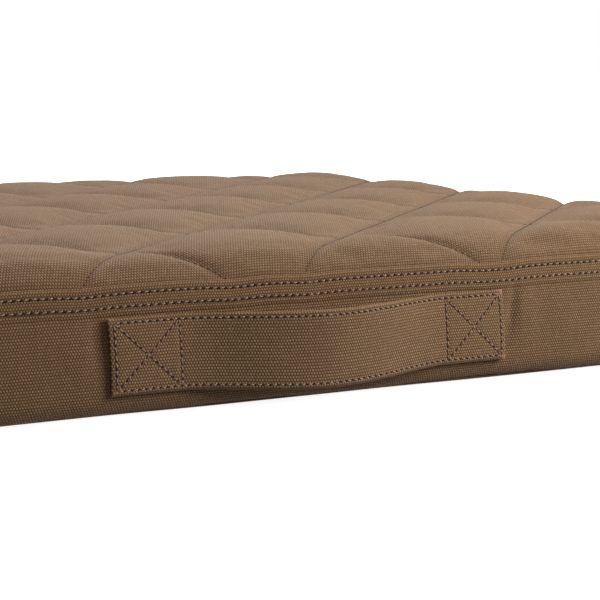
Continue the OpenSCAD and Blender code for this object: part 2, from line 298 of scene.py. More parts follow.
def boxing_relief(t, s):
    """How far the cloth of the side stands out of its smooth outline."""
    lift, row_sink, seam_sink, edge_sink = 0.9 * MM, 0.62 * MM, 0.7 * MM, 0.5 * MM
    slow_wave, quick_wave = 75 * MM, 22 * MM
    relief = lift * (1 - smooth((s - ALLOWANCE) / (2.2 * MM))) * smooth((s + 0.5 * MM) / (2 * MM))
    pucker = 0.55 + 0.25 * np.cos(2 * np.pi * t / STITCH)
    for drop in ROW_DROPS:
        relief = relief - row_sink * pucker * bell(s - drop, 1.0 * MM)
    for seam in CORNERS + [BACK - ZIP_HALF, BACK + ZIP_HALF]:
        relief = relief - seam_sink * bell(from_front(t - seam), 1.3 * MM)
    relief = relief - edge_sink * bell(s - BOXING_LEN, 1.5 * MM)
    relief = relief + 0.5 * MM * waves(t, s * 2.2, slow_wave, 3.1) * smooth(s / (12 * MM))
    relief = relief + 0.25 * MM * waves(t, s, quick_wave, 7.7) * smooth(s / (14 * MM))
    return relief


def handle_pull(t, s):
    """Dents that the sewn handle makes in the side: the strap draws the cloth beside its ends."""
    u, beside = from_front(t), STRAP_HALF + 6 * MM
    right = -1.3 * MM * bell(u - beside + 0.25 * (s - 32 * MM), 3.2 * MM)
    left = -0.9 * MM * bell(u + beside, 4.5 * MM)
    swell = 0.7 * MM * bell(u - beside - 10 * MM, 7 * MM)
    return (right + left + swell) * bell(s - 28 * MM, 15 * MM)


def side_surface(t, s, lift):
    """Points and normals on the cloth of the side."""
    t, s = np.broadcast_arrays(np.asarray(t, float), np.asarray(s, float))
    x, y, nx, ny = along_seam(t)
    out, up, n_out, n_up = side_outline(s)
    relief = boxing_relief(t, s) + handle_pull(t, s) + lift
    dip = ridge_dip(t) * (1 - smooth(s / (30 * MM)))
    out = out + n_out * relief
    points = np.stack([x + nx * out, y + ny * out, up + n_up * relief - dip], -1)
    normals = np.stack([nx * n_out, ny * n_out, n_up], -1)
    return points, normals


def boxing_panel(name, t0, t1, s0, s1, material, step, s_step, folded=None):
    """One panel of the side between two distances along the seam and two depths below the ridge.

    folded is the depth of an edge that is folded under and topstitched, as beside the zip.
    """
    s = np.linspace(s0, s1, max(2, round((s1 - s0) / s_step)) + 1)
    if s0 < 0:
        fine = np.concatenate([np.linspace(s0, 0, 8)[:-1], np.arange(0, ALLOWANCE + 4 * MM, 0.5 * MM)])
        rows = max(2, round((s1 - fine[-1]) / s_step))
        s = np.concatenate([fine, np.linspace(fine[-1] + 0.8 * MM, s1, rows)])
    t = np.linspace(t0, t1, max(2, round((t1 - t0) / step)) + 1)
    tt, ss = np.meshgrid(t, s)
    lift = np.zeros_like(ss)
    # lighter along the ridge fold: partly rubbing of the cloth, partly a painted highlight
    wear_and_highlight = bell(ss, 1.4 * MM) * 0.12
    # painted shade: the shade mark darkens the cloth along the grooves of both topstitched rows
    shade = sum(bell(ss - d, 1.1 * MM) for d in ROW_DROPS) * 0.5
    if folded is not None:
        from_edge = np.abs(ss - folded)
        lift = 0.3 * MM * (1 - smooth((from_edge - 5 * MM) / (2 * MM))) * smooth(from_edge / (0.8 * MM))
        lift = lift - 0.3 * MM * bell(from_edge - ZIP_ROW, 0.9 * MM)
        # lighter along the folded edge beside the zip: partly rubbing of the cloth, partly a painted
        # highlight
        wear_and_highlight = wear_and_highlight + 0.3 * bell(from_edge, 0.8 * MM)
    points, _ = side_surface(tt, ss, lift)
    uv = np.stack([tt.ravel(), -ss.ravel()], -1)
    faces = turned(grid_faces(len(s), len(t)))
    obj = add_mesh(name, points.reshape(-1, 3), faces, uv, {"wear_and_highlight": wear_and_highlight, "shade": shade}, material)
    thicken(obj, CANVAS_T)
    return obj


# ---------------------------------------------------------------- pieces that go all the way round
def ring_points(t, out, z):
    """Points of rings round the bed: out from the seam line, and when far inside, in towards the middle."""
    keep = CORNER_R - 5 * MM
    x, y, nx, ny = along_seam(t)
    near = np.minimum(-out, keep)
    share = np.clip((-out - keep) / (HALF_D - keep), 0, 1)
    return np.stack([(x - nx * near) * (1 - share), (y - ny * near) * (1 - share), z + 0 * x], -1)


def ring_mesh(name, profile, step, material, relief=None):
    """Sweeps a profile of (out, height) pairs all the way round. Its end rings may close on the middle."""
    cols = round(PERIMETER / step)
    t = np.arange(cols) * PERIMETER / cols
    points = np.concatenate([ring_points(t, out, z) for out, z in profile])
    if relief is not None:
        points = points + relief(points)
    faces = grid_faces(len(profile), cols, closed=True)
    plain = 0 * points[:, 0]
    obj = add_mesh(name, points, faces, points[:, :2], {"wear_and_highlight": plain, "shade": plain}, material)
    edit_mesh(obj, lambda edit: bmesh.ops.remove_doubles(edit, verts=edit.verts, dist=0.01 * MM))
    return obj


def underside(material):
    """The bottom panel: it curls up into its seam and lies flat, with a few faint waves, on the floor."""
    reach = UNDER_R * math.sin(math.pi / 2 - UNDER_ANGLE)
    flat_rings = [-k * MM for k in (4, 9, 16, 26, 40, 60, 90, 130, 180, 230, 265)]
    profile = []
    for x in list(np.linspace(reach, 0, 8)) + flat_rings:
        profile.append((BULGE - UNDER_R + x, UNDER_R - math.sqrt(UNDER_R ** 2 - max(x, 0) ** 2)))
    profile.append((-HALF_D, 0))

    def faint_waves(points):
        lift = 0.25 * MM * (1 + waves(points[:, 0], points[:, 1], 0.06, 5.5))
        return np.stack([0 * lift, 0 * lift, np.clip(lift, 0, 0.6 * MM)], -1)

    obj = ring_mesh("underside_panel", profile[::-1], 3.5 * MM, material, faint_waves)
    thicken(obj, CANVAS_T)
    return obj


def insert_cushion(material):
    """The loose insert: a soft crowned pad inside the cover, which nothing outside shows."""
    top, bottom = SEAM_Z + 7 * MM, 2.4 * MM
    side = [side_outline(depth_at(z)) for z in np.linspace(SEAM_Z - 3 * MM, UNDER_R + 6 * MM, 9)]
    profile = [(-HALF_D, top)] + [(-k * MM, top) for k in (200, 140, 90, 60, 40, 30)]
    profile += [(-22 * MM, SEAM_Z + 5.5 * MM), (-15 * MM, SEAM_Z + 2.5 * MM), (-11 * MM, SEAM_Z - 0.5 * MM)]
    profile += [(float(out) - LINING_DEPTH, float(up)) for out, up, _, _ in side]
    profile += [(BULGE - LINING_DEPTH - 2 * MM, 8 * MM), (-8 * MM, 3.2 * MM)]
    profile += [(-k * MM, bottom) for k in (20, 40, 90, 160)] + [(-HALF_D, bottom)]
    obj = ring_mesh("insert_cushion", profile[::-1], 7 * MM, material)
    return obj


# ---------------------------------------------------------------- the quilted top
def round_corners(x, y, half_x, half_y, radius):
    """Maps a point of a rectangle into the same rectangle with round corners."""
    ax, ay = np.abs(x) - (half_x - radius), np.abs(y) - (half_y - radius)
    corner = (ax > 0) & (ay > 0)
    a, b = ax / radius, ay / radius
    cx = np.where(corner, a * np.sqrt(np.maximum(1 - b * b / 2, 0)), a)
    cy = np.where(corner, b * np.sqrt(np.maximum(1 - a * a / 2, 0)), b)
    return np.sign(x) * (half_x - radius + cx * radius), np.sign(y) * (half_y - radius + cy * radius)


def edge_distance(x, y, half_x, half_y, radius):
    """Distance inwards from the edge of a rectangle with round corners."""
    ax, ay = np.abs(x) - (half_x - radius), np.abs(y) - (half_y - radius)
    outside = np.hypot(np.maximum(ax, 0), np.maximum(ay, 0))
    return radius - outside - np.minimum(np.maximum(ax, ay), 0)


def lattice():
    """Diagonal lattice over the top: grid numbers, flat positions, and quad and triangle faces."""
    index, cells = {}, []
    for row in range(LATTICE_Y + 1):
        for col in range(row % 2, LATTICE_X + 1, 2):
            index[col, row] = len(cells)
            cells.append((col, row))
    faces = []
    for row in range(LATTICE_Y + 1):
        for col in range((row + 1) % 2, LATTICE_X + 1, 2):
            around = [(col + 1, row), (col, row + 1), (col - 1, row), (col, row - 1)]
            faces.append(tuple(index[c] for c in around if c in index))
    cells = np.array(cells)
    half_x, half_y = HALF_W - TOP_INSET, HALF_D - TOP_INSET
    flat_x = (cells[:, 0] / LATTICE_X * 2 - 1) * half_x
    flat_y = (cells[:, 1] / LATTICE_Y * 2 - 1) * half_y
    return cells, flat_x, flat_y, [f for f in faces if len(f) > 2]


def crown(distance, rise):
    """Height above the seam at a distance inside it."""
    t = np.clip(distance / CROWN_RUN, 0, 1)
    return rise * (1 - (1 - t) ** 2)


def is_line(number, family):
    return (number - family[0]) % family[1] == 0


def between_lines(cells):
    """Share of the way between two neighbouring quilting lines, for each family."""
    down = ((cells[:, 0] + cells[:, 1] - DOWN_LINES[0]) / DOWN_LINES[1]) % 1
    up = ((cells[:, 0] - cells[:, 1] - UP_LINES[0]) / UP_LINES[1]) % 1
    return down, up


def inflate(obj, held, pressure, slack, frames):
    """Cloth simulation: the wadding's pressure lifts the cloth between its sewn points."""
    group = obj.vertex_groups.new(name="sewn")
    group.add([int(i) for i in np.flatnonzero(held)], 1.0, "REPLACE")
    cloth = obj.modifiers.new("cloth", "CLOTH")
    settings = cloth.settings
    settings.quality = 5
    settings.mass = 0.3
    settings.tension_stiffness = 20
    settings.compression_stiffness = 20
    settings.shear_stiffness = 8
    settings.bending_stiffness = 0.3
    settings.air_damping = 3
    settings.use_pressure = True
    settings.uniform_pressure_force = pressure
    settings.shrink_min = -slack
    settings.vertex_group_mass = "sewn"
    settings.effector_weights.gravity = 0
    cloth.point_cache.frame_start = 1
    cloth.point_cache.frame_end = frames
    scene = bpy.context.scene
    for number in range(1, frames + 1):
        scene.frame_set(number)
    shown = obj.evaluated_get(bpy.context.evaluated_depsgraph_get())
    points = np.zeros(len(obj.data.vertices) * 3)
    shown.data.vertices.foreach_get("co", points)
    obj.modifiers.remove(cloth)
    scene.frame_set(1)
    return points.reshape(-1, 3)


def quilted_top(material, lining):
    """The quilt: wadding under canvas, sewn down along the lines. Returns the piece and its sewn lines."""
    cells, flat_x, flat_y, faces = lattice()
    half_x, half_y = HALF_W - TOP_INSET, HALF_D - TOP_INSET
    x, y = round_corners(flat_x, flat_y, half_x, half_y, CORNER_R - TOP_INSET)
    inside = edge_distance(x, y, half_x, half_y, CORNER_R - TOP_INSET)
    flatter = smooth((y + 50 * MM) / (250 * MM))
    base = SEAM_Z - TOP_DROP + crown(inside, VALLEY_RISE + BACK_RISE * flatter)
    rim = (cells[:, 0] == 0) | (cells[:, 0] == LATTICE_X) | (cells[:, 1] == 0) | (cells[:, 1] == LATTICE_Y)
    sewn = is_line(cells[:, 0] + cells[:, 1], DOWN_LINES) | is_line(cells[:, 0] - cells[:, 1], UP_LINES)
    down, up = between_lines(cells)
    pillow = np.sqrt(np.abs(np.sin(np.pi * down) * np.sin(np.pi * up)))
    pillow = pillow * np.clip(inside / EDGE_RUN, 0, 1) ** 0.6 * (1 - BACK_FLATTER * flatter)
    points = np.stack([x, y, base + PUFF * pillow], -1)
    # painted shade: the shade mark darkens the sewn quilting lines and the rim, down in their valleys
    marks = {"shade": np.where(sewn | rim, 1.0, 0.0), "wear_and_highlight": np.zeros(len(x))}
    obj = add_mesh("quilted_top", points, faces, np.stack([flat_x, flat_y], -1), marks, material)
    start = np.stack([x, y, base + START_SHARE * PUFF * pillow], -1)
    obj.data.vertices.foreach_set("co", start.ravel())
    moved = inflate(obj, rim | sewn, pressure=6.0, slack=0.008, frames=16) - start
    far = np.linalg.norm(moved, axis=1, keepdims=True)
    points = start + moved * np.minimum(1, FARTHEST / np.maximum(far, 1e-9))
    points[:, 2] -= ridge_dip_on_top(x, y, inside)
    obj.data.vertices.foreach_set("co", points.ravel())
    crease_lines(obj, cells)
    fine_points = close_under(obj, points, faces, lining)
    return obj, quilt_lines(cells, fine_points)


def ridge_dip_on_top(x, y, inside):
    """The top follows the ridge where the quilting lines pull it down."""
    dip = np.where(y < -HALF_D + 60 * MM, ridge_dip(np.clip(x, -STRAIGHT_X, STRAIGHT_X)), 0.36 * MM)
    return dip * (1 - smooth(inside / (14 * MM)))


def close_under(obj, coarse, faces, lining):
    """Subdivides the quilt's outer cloth once, and closes it underneath with the coarser lining."""
    subdivision = obj.modifiers.new("fine", "SUBSURF")
    subdivision.levels = subdivision.render_levels = 1
    shown = obj.evaluated_get(bpy.context.evaluated_depsgraph_get())
    fine = bpy.data.meshes.new_from_object(shown)
    obj.modifiers.clear()
    obj.data = fine
    edit = bmesh.new()
    edit.from_mesh(fine)
    edit.verts.ensure_lookup_table()
    outer = list(edit.verts)
    count = len(coarse)
    down = Vector((0, 0, -QUILT_T))
    inner = [edit.verts.new(v.co + down) for v in outer[:count]]
    halfway = {}
    for edge in [e for e in edit.edges if e.is_boundary]:
        mid, end = sorted(edge.verts, key=lambda v: -v.index)
        if mid not in halfway:
            halfway[mid] = [edit.verts.new(mid.co + down)]
        halfway[mid].append(end.index)
    between = {frozenset(made[1:]): made[0] for made in halfway.values()}
    rim = [(mid, outer[end], inner[end], made[0]) for mid, made in halfway.items() for end in made[1:]]
    for face in faces:
        corners = []
        for a, b in zip(face, face[1:] + face[:1]):
            corners.append(inner[a])
            if frozenset((a, b)) in between:
                corners.append(between[frozenset((a, b))])
        edit.faces.new(corners[::-1]).material_index = 1
    for loop in rim:
        edit.faces.new(loop).material_index = 1
    bmesh.ops.recalc_face_normals(edit, faces=edit.faces)
    for face in edit.faces:
        face.smooth = True
    edit.to_mesh(fine)
    edit.free()
    fine.materials.append(lining)
    return np.array([v.co for v in fine.vertices[:count]])


def crease_lines(obj, cells):
    """Keeps the cloth sharply folded along the quilting lines."""
    ends = np.zeros(len(obj.data.edges) * 2, np.int32)
    obj.data.edges.foreach_get("vertices", ends)
    first, last = cells[ends[::2]], cells[ends[1::2]]
    sharp = np.zeros(len(first), bool)
    for sign, family in ((1, DOWN_LINES), (-1, UP_LINES)):
        a, b = first[:, 0] + sign * first[:, 1], last[:, 0] + sign * last[:, 1]
        sharp |= (a == b) & is_line(a, family)
    creases = obj.data.attributes.new("crease_edge", "FLOAT", "EDGE")
    creases.data.foreach_set("value", sharp.astype(np.float32))


def quilt_lines(cells, points):
    """Runs of neighbouring lattice points along each quilting line, as arrays of positions."""
    runs = []
    for sign, family in ((1, DOWN_LINES), (-1, UP_LINES)):
        number = cells[:, 0] + sign * cells[:, 1]
        for value in np.unique(number[is_line(number, family)]):
            pick = np.flatnonzero(number == value)
            pick = pick[np.argsort(cells[pick, 0])]
            if len(pick) > 3:
                runs.append(points[pick])
    return runs


# ---------------------------------------------------------------- stitches
SLANT = 0.16                           # of the stitches to their row, in radians


def stitch_shape(length, width, height, rings=5, sides=6):
    """One stitch, lying along x: it comes up out of the cloth, runs over it and goes down again."""
    points = []
    for i in range(rings):
        a = i / (rings - 1)
        x = (a - 0.5) * length
        z = height * math.sin(math.pi * a) - 0.25 * height
        r = 0.5 * width * (0.55 + 0.45 * math.sin(math.pi * a))
        for j in range(sides):
            b = 2 * math.pi * j / sides
            points.append((x, r * math.cos(b), z + r * 0.8 * math.sin(b)))
    faces = turned(grid_faces(rings, sides, closed=True))
    faces.append(tuple(range(sides)))
    faces.append(tuple(reversed(range((rings - 1) * sides, rings * sides))))
    return np.array(points), faces


def place_copies(shape, faces, at, forward, normal, turn=0.0):
    """Copies a shape to each place: its x along forward, its z along normal, turned about the normal."""
    forward = forward / np.linalg.norm(forward, axis=1, keepdims=True)
    side = np.cross(normal, forward)
    side = side / np.linalg.norm(side, axis=1, keepdims=True)
    up = np.cross(forward, side)
    c, s = math.cos(turn), math.sin(turn)
    fx, fy = forward * c + side * s, side * c - forward * s
    points = (at[:, None, :] + shape[None, :, 0:1] * fx[:, None, :] + shape[None, :, 1:2] * fy[:, None, :]
              + shape[None, :, 2:3] * up[:, None, :])
    copied = [tuple(i * len(shape) + k for k in f) for i in range(len(at)) for f in faces]
    return points.reshape(-1, 3), copied


def stitch_row(name, at, forward, normal, thread, hole, length=2.7 * MM, width=0.75 * MM, height=0.42 * MM,
               turn=SLANT):
    """A row of stitches with a dark dot of painted shadow for the needle hole between each two, as one mesh
    of two materials.
    """
    shape, faces = stitch_shape(length, width, height)
    points, all_faces = place_copies(shape, faces, at, forward, normal, turn)
    stitch_faces = len(all_faces)
    # a flat near-black dot lies at each needle hole as its painted shadow
    dot, dot_faces = stitch_shape(2.0 * MM, 1.15 * MM, 0.25 * MM)
    dot[:, 2] *= 0.35
    between = (at[1:] + at[:-1]) / 2
    dots, more = place_copies(dot, dot_faces, between, forward[1:], normal[1:], turn)
    all_faces += [tuple(len(points) + k for k in f) for f in more]
    obj = add_mesh(name, np.concatenate([points, dots]), all_faces, None, None, thread)
    obj.data.materials.append(hole)
    kinds = np.zeros(len(all_faces), np.int32)
    kinds[stitch_faces:] = 1
    obj.data.polygons.foreach_set("material_index", kinds)
    return obj


def quilting_stitches(name, runs, thread):
    """Small stitches sunk into the quilting lines."""
    shape, faces = stitch_shape(2.5 * MM, 0.48 * MM, 0.3 * MM, rings=4, sides=5)
    all_points, all_faces, start = [], [], 0
    for run in runs:
        at, forward, normal = stitches_between(run, top_normals(run), 3.6 * MM)
        points, more = place_copies(shape, faces, at + normal * 0.12 * MM, forward, normal)
        all_faces += [tuple(start + k for k in f) for f in more]
        all_points.append(points)
        start += len(points)
    return add_mesh(name, np.concatenate(all_points), all_faces, None, None, thread)


def top_normals(points):
    """Upward normals of the crown at points on the top."""
    def height(x, y):
        return crown(edge_distance(x, y, HALF_W, HALF_D, CORNER_R), VALLEY_RISE)
    x, y, d = points[:, 0], points[:, 1], 1 * MM
    slope = [(height(x + d, y) - height(x - d, y)) / (2 * d), (height(x, y + d) - height(x, y - d)) / (2 * d)]
    normal = np.stack([-slope[0], -slope[1], np.ones_like(x)], -1)
    return normal / np.linalg.norm(normal, axis=1, keepdims=True)


def seam_stitches(name, t, drop, thread, hole, seed):
    """A row of topstitching on the side, at a depth below the ridge."""
    jitter = np.random.default_rng(seed).normal(0, 0.05 * MM, len(t))
    wander = drop + 0.12 * MM * np.sin(t / 0.031) + jitter
    at, normal = side_surface(t, wander, 0.15 * MM)
    ahead, behind = (side_surface(t + step, wander, 0.15 * MM)[0] for step in (0.5 * MM, -0.5 * MM))
    return stitch_row(name, at, ahead - behind, normal, thread, hole)


def stitches_between(points, normals, pitch):
    """Evenly spaced places along a polyline, with their directions and normals."""
    steps = np.linalg.norm(np.diff(points, axis=0), axis=1)
    run = np.concatenate([[0], np.cumsum(steps)])
    count = max(2, round(run[-1] / pitch))
    where = (np.arange(count) + 0.5) * run[-1] / count

    def along(values, place):
        return np.stack([np.interp(place, run, values[:, k]) for k in range(3)], -1)

    forward = along(points, where + 0.3 * pitch) - along(points, where - 0.3 * pitch)
    return along(points, where), forward, along(normals, where)


# ---------------------------------------------------------------- handle
def bow(x):
    """How far the free part of the strap stands out at x."""
    t = np.clip((np.asarray(x, float) + FREE_HALF) / (2 * FREE_HALF), 0, 1)
    return STRAP_BOW * (0.5 - 0.5 * np.cos(2 * np.pi * t)) ** 0.8


def strap_centre(x, a):
    """Middle of the strap's thickness: x along it, a from -1 at its lower edge to 1 at its upper edge."""
    x, a = np.broadcast_arrays(np.asarray(x, float), np.asarray(a, float))
    free = bow(x) / STRAP_BOW
    z = STRAP_MID - 2.2 * MM * free + a * (HALF_STRAP_W + 1.2 * MM * free)
    out, _, _, _ = side_outline(depth_at(z))
    hug = out + 0.35 * MM + STRAP_T / 2
    straight = BULGE - 0.6 * MM + STRAP_T / 2
    y = -HALF_D - (hug * (1 - free) + straight * free + bow(x))
    y = y - 0.35 * MM * waves(x, z, 0.03, 12.3) * free
    return np.stack([x, y, z], -1)


def strap_frame(x, a):
    """Centre and outward direction of the strap's thickness."""
    d = 0.5 * MM
    centre = strap_centre(x, a)
    dx = strap_centre(x + d, a) - strap_centre(x - d, a)
    da = strap_centre(x, a + 0.02) - strap_centre(x, a - 0.02)
    normal = np.cross(dx, da)
    normal = normal / np.linalg.norm(normal, axis=-1, keepdims=True)
    return centre, normal


def strap_relief(x, a):
    """Outer face of the strap: it sinks along its stitching and is a little full between."""
    groove = 0.9 * MM
    from_edge = (1 - np.abs(a)) * HALF_STRAP_W
    relief = -0.42 * MM * bell(from_edge - STRAP_EDGE, groove)
    relief = relief + 0.25 * MM * bell(from_edge - 1.4 * MM, 1.2 * MM)
    u, v = np.abs(x) - BOX_MIDDLE, a * HALF_STRAP_W
    in_rows = np.abs(v) < BOX_TALL
    inside = (np.abs(u) < BOX_HALF) & in_rows
    for sign in (-1, 1):
        from_cross = (v / BOX_TALL - sign * u / BOX_HALF) * BOX_TALL * 0.7
        relief = relief - 0.35 * MM * np.where(inside, bell(from_cross, groove), 0)
        relief = relief - 0.38 * MM * bell(u - sign * BOX_HALF, groove) * in_rows
    return relief


def strap_half(name, side, material):
    """Half of the strap, from its sewn end to its middle, as one closed folded band."""
    count = 96
    x = np.linspace(STRAP_HALF, 0, count) * side
    face = np.linspace(-1, 1, 27)
    angles = np.radians(np.linspace(-90, 90, 7)[1:-1])
    edge = 1.15 * MM / HALF_STRAP_W
    fold = 1 - edge + edge * np.cos(angles)
    loop_a = np.concatenate([face * (1 - edge), fold, face[::-3] * (1 - edge), -fold])
    loop_n = np.concatenate([np.ones(len(face)), -np.sin(angles), -np.ones(len(face[::-3])), np.sin(angles)])
    xx, aa = np.meshgrid(x, loop_a, indexing="ij")
    centre, normal = strap_frame(xx, np.clip(aa, -1, 1))
    thickness = STRAP_T / 2 * loop_n[None, :] + np.where(loop_n[None, :] > 0.99, strap_relief(xx, aa), 0)
    tip = smooth((STRAP_HALF - np.abs(xx)) / (1.3 * MM))
    thickness = thickness * (0.55 + 0.45 * np.sqrt(tip))
    points = centre + normal * thickness[..., None]
    cols = len(loop_a)
    faces = grid_faces(count, cols, closed=True)
    faces += [tuple(range(cols)), tuple(reversed(range((count - 1) * cols, count * cols)))]
    if side > 0:
        faces = turned(faces)
    steps = np.hypot(np.diff(loop_a) * HALF_STRAP_W, np.diff(loop_n) * STRAP_T / 2)
    girth = np.concatenate([[0], np.cumsum(steps)])
    uv = np.stack([xx, np.broadcast_to(girth[None, :], xx.shape)], -1).reshape(-1, 2)
    # lighter round the strap's folded edges, partly rubbing and partly a painted highlight, and at its end
    # corners from rubbing
    edge_wear = np.where(np.abs(loop_n[None, :]) < 0.95, 0.3, 0.0) + 0 * xx
    corner = bell(STRAP_HALF - np.abs(xx), 2.2 * MM) * bell(1 - np.abs(aa), 0.12)
    wear_and_highlight = np.clip(edge_wear + 1.5 * corner, 0, 2)
    obj = add_mesh(name, points.reshape(-1, 3), faces, uv, {"wear_and_highlight": wear_and_highlight, "shade": 0 * wear_and_highlight}, material)
    edit_mesh(obj, sharpen_ends)
    return obj


def sharpen_ends(edit):
    """Turns all faces outwards and keeps the edges of the end caps sharp."""
    bmesh.ops.recalc_face_normals(edit, faces=edit.faces)
    for face in edit.faces:
        if len(face.verts) > 4:
            for edge in face.edges:
                edge.smooth = False


def strap_path(x, v):
    """Outer face of the strap along a path given by x and height v from the strap's middle."""
    a = np.asarray(v, float) / HALF_STRAP_W
    centre, normal = strap_frame(x, a)
    lift = STRAP_T / 2 + strap_relief(x, a) + 0.12 * MM
    return centre + normal * lift[..., None], normal


def strap_stitches(side, thread, hole):
    """Stitching on half of the strap: the boxed cross on its sewn end and the rows along both edges."""
    far, near, top = side * BOX_OUTER, side * BOX_INNER, BOX_TALL
    lines = [((far, -top), (0, -top)), ((far, top), (0, top)),
             ((far, -top), (far, top)), ((near, -top), (near, top)),
             ((far, -top), (near, top)), ((far, top), (near, -top))]
    made = []
    for number, ((x0, v0), (x1, v1)) in enumerate(lines):
        share = np.linspace(0, 1, 90)
        path, normal = strap_path(x0 + (x1 - x0) * share, v0 + (v1 - v0) * share)
        at, forward, up = stitches_between(path, normal, 3.9 * MM)
        turn = SLANT if x1 > x0 or number > 1 else -SLANT
        made.append(stitch_row(f"stitch_part_{number}", at, forward, up, thread, hole, 2.6 * MM, 0.7 * MM,
                               0.4 * MM, turn))
    return join(made, f"handle_stitches_{'right' if side > 0 else 'left'}")


def join(objects, name):
    bpy.ops.object.select_all(action="DESELECT")
    for o in objects:
        o.select_set(True)
    bpy.context.view_layer.objects.active = objects[0]
    bpy.ops.object.join()
    objects[0].name = name
    objects[0].data.name = name
    return objects[0]


# ---------------------------------------------------------------- materials
def colour(r, g, b):
    return (r, g, b, 1.0)


class Nodes:
    """A short way to write a material's nodes."""

    def __init__(self, name):
        self.material = bpy.data.materials.new(name)
        self.material.use_nodes = True
        self.tree = self.material.node_tree
        self.shader = self.tree.nodes["Principled BSDF"]

    def add(self, kind, inputs=None, **settings):
        node = self.tree.nodes.new(kind)
        for key, value in settings.items():
            setattr(node, key, value)
        for key, value in (inputs or {}).items():
            self.put(node.inputs[key], value)
        return node

    def put(self, socket, value):
        if isinstance(value, bpy.types.NodeSocket):
            self.tree.links.new(value, socket)
        else:
            socket.default_value = value

    def surface(self, values):
        """Sets or links the shader's own sockets, and gives back the finished material."""
        for key, value in values.items():
            self.put(self.shader.inputs[key], value)
        return self.material

    def math(self, operation, a, b=0.0):
        return self.add("ShaderNodeMath", {0: a, 1: b}, operation=operation).outputs[0]

    def times(self, a, b):
        return self.math("MULTIPLY", a, b)

    def plus(self, a, b):
        return self.math("ADD", a, b)

    def mix(self, share, a, b):
        return self.add("ShaderNodeMix", {0: share, 6: a, 7: b}, data_type="RGBA").outputs[2]

    def place(self):
        return self.add("ShaderNodeTexCoord").outputs["Object"]

    def noise(self, vector, per_metre, detail=2.0):
        """Noise with its own number of blotches per metre along each axis."""
        scaled = self.add("ShaderNodeVectorMath", {0: vector, 1: per_metre}, operation="MULTIPLY").outputs[0]
        settings = {"Vector": scaled, "Scale": 1.0, "Detail": detail}
        return self.add("ShaderNodeTexNoise", settings).outputs["Fac"]

    def even_noise(self, vector, per_metre, detail=2.0):
        return self.noise(vector, (per_metre,) * 3, detail)

    def mark(self, name):
        return self.add("ShaderNodeAttribute", attribute_name=name).outputs["Fac"]

    def bump(self, height, strength, distance):
        settings = {"Height": height, "Strength": strength, "Distance": distance}
        return self.add("ShaderNodeBump", settings).outputs[0]


def canvas_material(name, dark, middle, light, thread_x=1.5 * MM, thread_y=1.47 * MM, depth=0.35 * MM,
                    on_cloth=True):
    """Plain-woven duck: rows of short floats that step half a thread in the next row.

    Where on_cloth is false the weave lies across x and z instead of along the cloth's own map.
    """
    n = Nodes(name)
    if on_cloth:
        uv = n.add("ShaderNodeUVMap", uv_map="cloth").outputs[0]
    else:
        place = n.add("ShaderNodeSeparateXYZ", {0: n.place()})
        uv = n.add("ShaderNodeCombineXYZ", {0: place.outputs[0], 1: place.outputs[2]}).outputs[0]
    split = n.add("ShaderNodeSeparateXYZ", {0: uv})
    wobble = n.times(n.math("SUBTRACT", n.even_noise(uv, 90), 0.5), 0.35)
    u = n.plus(n.math("DIVIDE", split.outputs[0], thread_x), wobble)
    v = n.plus(n.math("DIVIDE", split.outputs[1], thread_y), wobble)
    row = n.math("FLOOR", v)
    shifted = n.plus(u, n.times(row, 0.5))
    cell = n.add("ShaderNodeCombineXYZ", {0: n.math("FLOOR", shifted), 1: row}).outputs[0]
    chance = n.add("ShaderNodeTexWhiteNoise", {"Vector": cell}, noise_dimensions="2D").outputs["Value"]
    across, along = (n.math("SINE", n.times(n.math("FRACT", part), math.pi)) for part in (shifted, v))
    height = n.times(n.math("POWER", across, 0.8), n.math("POWER", along, 0.7))
    height = n.times(height, n.plus(0.87, n.times(chance, 0.15)))
    warp = n.noise(uv, (1 / thread_x, 0.12 / thread_x, 1))
    weft = n.noise(uv, (0.06 / thread_y, 1 / thread_y, 1))
    slub = n.times(n.plus(warp, weft), 0.5)
    broad = n.even_noise(uv, 9, 3.0)
    fuzz = n.noise(uv, (2600, 2600, 1))
    # painted shade and highlight of the weave: darker where the threads dip, lighter (lit) on the crowns of
    # the floats, following the bump's height; slub and chance add real yarn variation
    base = n.mix(n.plus(n.times(height, 0.75), n.times(fuzz, 0.25)), dark, middle)
    lit = n.times(n.math("POWER", height, 2.5), n.times(slub, n.plus(0.95, n.times(chance, 0.4))))
    base = n.mix(lit, base, light)
    base = n.mix(n.times(n.math("ABSOLUTE", n.math("SUBTRACT", broad, 0.5)), 0.4), base, dark)
    # fold edges and the ridge mixed towards a lighter colour: partly rubbing of the cloth, partly a painted
    # highlight
    worn_and_lit = n.times(n.mark("wear_and_highlight"), n.plus(0.15, n.times(fuzz, 0.5)))
    rubbed = colour(light[0] * 1.25, light[1] * 1.12, light[2] * 1.05)
    base = n.mix(n.math("MINIMUM", worn_and_lit, 0.8), base, rubbed)
    # painted shade along stitch grooves and quilting lines, from the shade mark
    base = n.mix(n.times(n.mark("shade"), 0.35), base, dark)
    return n.surface({"Base Color": base, "Roughness": n.plus(0.82, n.times(fuzz, 0.15)),
                      "Normal": n.bump(n.plus(height, n.times(fuzz, 0.3)), 0.9, depth),
                      "Sheen Weight": 0.12, "Sheen Tint": colour(1.0, 0.80, 0.58), "Sheen Roughness": 0.45,
                      "Specular IOR Level": 0.12})


